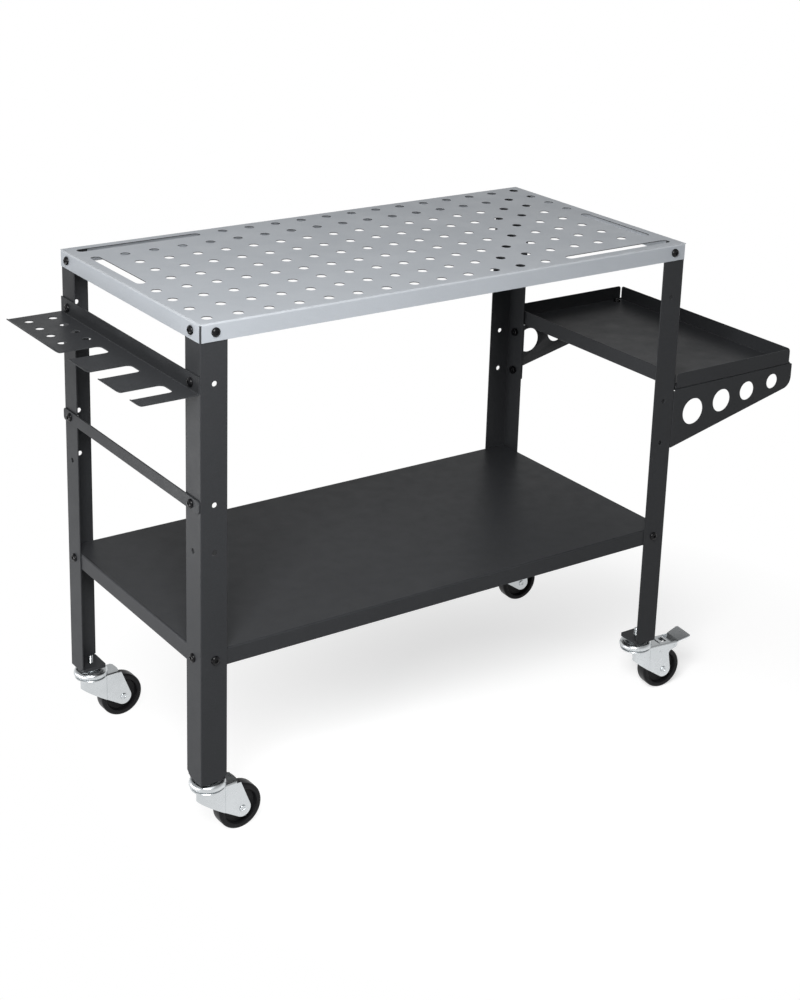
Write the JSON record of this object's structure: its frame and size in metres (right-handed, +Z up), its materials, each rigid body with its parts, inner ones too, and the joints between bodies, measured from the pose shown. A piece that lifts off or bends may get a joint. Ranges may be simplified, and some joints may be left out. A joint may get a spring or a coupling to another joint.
{
  "type": "mobile welding table",
  "caption": "Steel welding table on swivel casters: perforated slotted worktop, angle legs, lower shelf, slotted tool hanger and crossbar at one end, bracketed tray at the other.",
  "frame": {"origin": "on the floor, under the middle of the whole outline", "axes": "+X along the worktop towards the tray, -Y towards the front, +Z up"},
  "size_m": [1.2906, 0.4702, 0.8302],
  "materials": {
    "silver_paint": "satin silver-grey paint",
    "black_powder_coat": "fine-texture black powder coat",
    "black_oxide": "black oxide",
    "bright_zinc": "bright zinc plate",
    "black_wheel": "satin black moulded plastic"
  },
  "bodies": {
    "frame": {"bracket_bolt_back_lower": "black_oxide", "bracket_bolt_back_upper": "black_oxide", "bracket_bolt_front_lower": "black_oxide", "bracket_bolt_front_upper": "black_oxide", "caster_stem_back_left": "bright_zinc", "caster_stem_back_right": "bright_zinc", "caster_stem_front_left": "bright_zinc", "caster_stem_front_right": "bright_zinc", "crossbar": "black_powder_coat", "crossbar_bolt_back": "black_oxide", "crossbar_bolt_front": "black_oxide", "hanger_bolt_back": "black_oxide", "hanger_bolt_front": "black_oxide", "leg_back_left": "black_powder_coat", "leg_back_right": "black_powder_coat", "leg_front_left": "black_powder_coat", "leg_front_right": "black_powder_coat", "lower_shelf": "black_powder_coat", "shelf_bolt_back_left_end": "black_oxide", "shelf_bolt_back_left_side": "black_oxide", "shelf_bolt_back_right_end": "black_oxide", "shelf_bolt_back_right_side": "black_oxide", "shelf_bolt_front_left_end": "black_oxide", "shelf_bolt_front_left_side": "black_oxide", "shelf_bolt_front_right_end": "black_oxide", "shelf_bolt_front_right_side": "black_oxide", "side_tray": "black_powder_coat", "tool_hanger": "black_powder_coat", "tray_bolt_back_inner": "black_oxide", "tray_bolt_back_outer": "black_oxide", "tray_bolt_front_inner": "black_oxide", "tray_bolt_front_outer": "black_oxide", "tray_bracket_back": "black_powder_coat", "tray_bracket_front": "black_powder_coat", "worktop": "silver_paint", "worktop_bolt_back_left_end": "black_oxide", "worktop_bolt_back_left_side": "black_oxide", "worktop_bolt_back_right_end": "black_oxide", "worktop_bolt_back_right_side": "black_oxide", "worktop_bolt_front_left_end": "black_oxide", "worktop_bolt_front_left_side": "black_oxide", "worktop_bolt_front_right_end": "black_oxide", "worktop_bolt_front_right_side": "black_oxide"},
    "fork_front_left": {"caster_fork_front_left": "bright_zinc", "caster_axle_front_left": "bright_zinc"},
    "wheel_front_left": {"caster_wheel_front_left": "black_wheel"},
    "fork_front_right": {"caster_fork_front_right": "bright_zinc", "caster_axle_front_right": "bright_zinc"},
    "wheel_front_right": {"caster_wheel_front_right": "black_wheel"},
    "pedal_front_right": {"brake_pedal_front_right": "bright_zinc"},
    "fork_back_left": {"caster_fork_back_left": "bright_zinc", "caster_axle_back_left": "bright_zinc"},
    "wheel_back_left": {"caster_wheel_back_left": "black_wheel"},
    "fork_back_right": {"caster_fork_back_right": "bright_zinc", "caster_axle_back_right": "bright_zinc"},
    "wheel_back_right": {"caster_wheel_back_right": "black_wheel"},
    "pedal_back_right": {"brake_pedal_back_right": "bright_zinc"}
  },
  "joints": [
    {"name": "swivel_front_left", "type": "hinge", "parent": "frame", "child": "fork_front_left", "pos_m": [-0.52555, -0.20118, 0.099], "axis": [0, 0, 1], "continuous": true},
    {"name": "spin_front_left", "type": "hinge", "parent": "fork_front_left", "child": "wheel_front_left", "pos_m": [-0.47308, -0.19935, 0.0375], "axis": [-0.0349, 0.9994, 0], "continuous": true},
    {"name": "swivel_front_right", "type": "hinge", "parent": "frame", "child": "fork_front_right", "pos_m": [0.33805, -0.20118, 0.099], "axis": [0, 0, 1], "continuous": true},
    {"name": "spin_front_right", "type": "hinge", "parent": "fork_front_right", "child": "wheel_front_right", "pos_m": [0.39016, -0.20758, 0.0375], "axis": [0.1219, 0.9925, 0], "continuous": true},
    {"name": "pedal_front_right", "type": "hinge", "parent": "fork_front_right", "child": "pedal_front_right", "pos_m": [0.41001, -0.21002, 0.0814], "axis": [0.1219, 0.9925, 0], "range_deg": [0, 15]},
    {"name": "swivel_back_left", "type": "hinge", "parent": "frame", "child": "fork_back_left", "pos_m": [-0.52555, 0.20522, 0.099], "axis": [0, 0, 1], "continuous": true},
    {"name": "spin_back_left", "type": "hinge", "parent": "fork_back_left", "child": "wheel_back_left", "pos_m": [-0.47306, 0.20614, 0.0375], "axis": [-0.0175, 0.9998, 0], "continuous": true},
    {"name": "swivel_back_right", "type": "hinge", "parent": "frame", "child": "fork_back_right", "pos_m": [0.33805, 0.20522, 0.099], "axis": [0, 0, 1], "continuous": true},
    {"name": "spin_back_right", "type": "hinge", "parent": "fork_back_right", "child": "wheel_back_right", "pos_m": [0.39048, 0.20247, 0.0375], "axis": [0.0523, 0.9986, 0], "continuous": true},
    {"name": "pedal_back_right", "type": "hinge", "parent": "fork_back_right", "child": "pedal_back_right", "pos_m": [0.41045, 0.20143, 0.0814], "axis": [0.0523, 0.9986, 0], "range_deg": [0, 15]}
  ]
}
